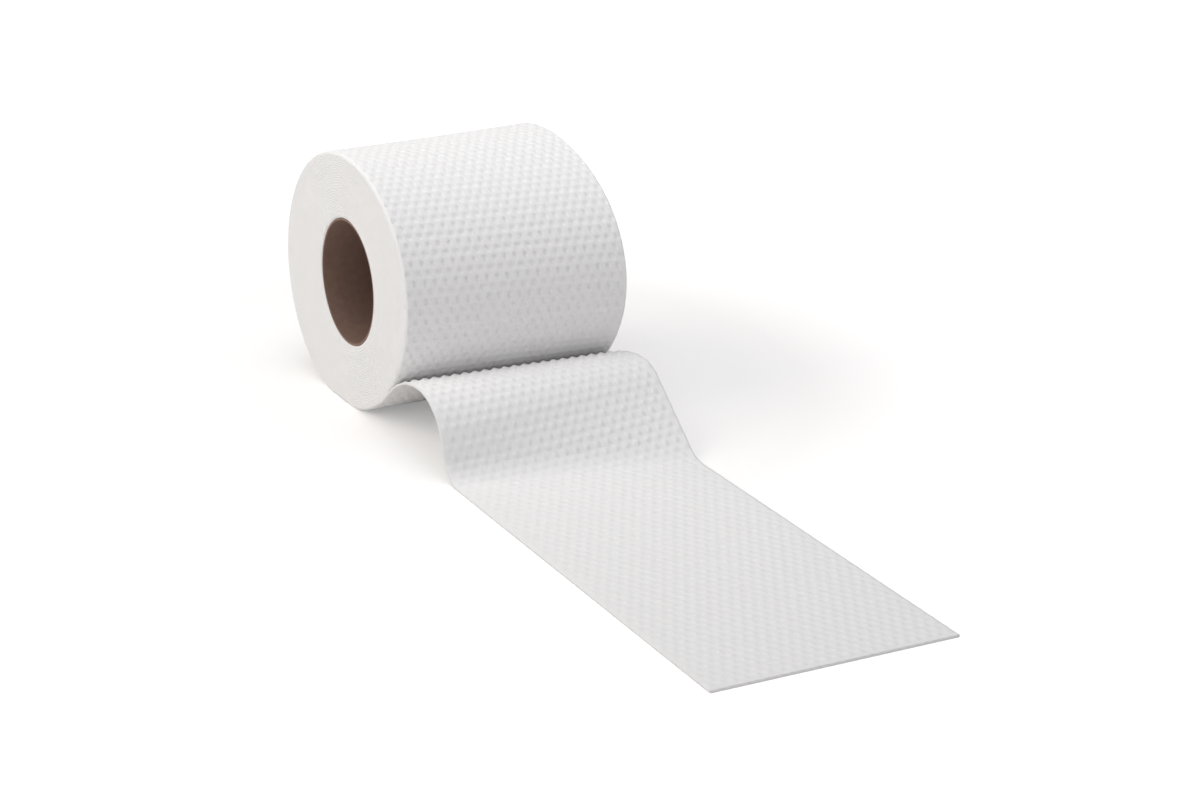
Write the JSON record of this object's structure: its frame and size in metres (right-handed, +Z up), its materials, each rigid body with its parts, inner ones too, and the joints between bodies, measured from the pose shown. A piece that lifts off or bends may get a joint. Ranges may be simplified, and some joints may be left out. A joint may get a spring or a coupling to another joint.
{
  "type": "toilet paper roll",
  "caption": "Embossed paper roll lying on its side, with a cardboard core and a length of paper drawn out over a hump in front.",
  "frame": {"origin": "centre of the core's bore, half way along it", "axes": "+Y along the bore, +X towards the loose end of the paper, +Z up from the surface that the roll lies on"},
  "size_m": [0.3374, 0.092, 0.0983],
  "materials": {
    "tissue_paper": "matte",
    "core_board": "matte"
  },
  "bodies": {
    "root": {"paper_roll": "tissue_paper", "cardboard_core": "core_board"}
  },
  "joints": []
}
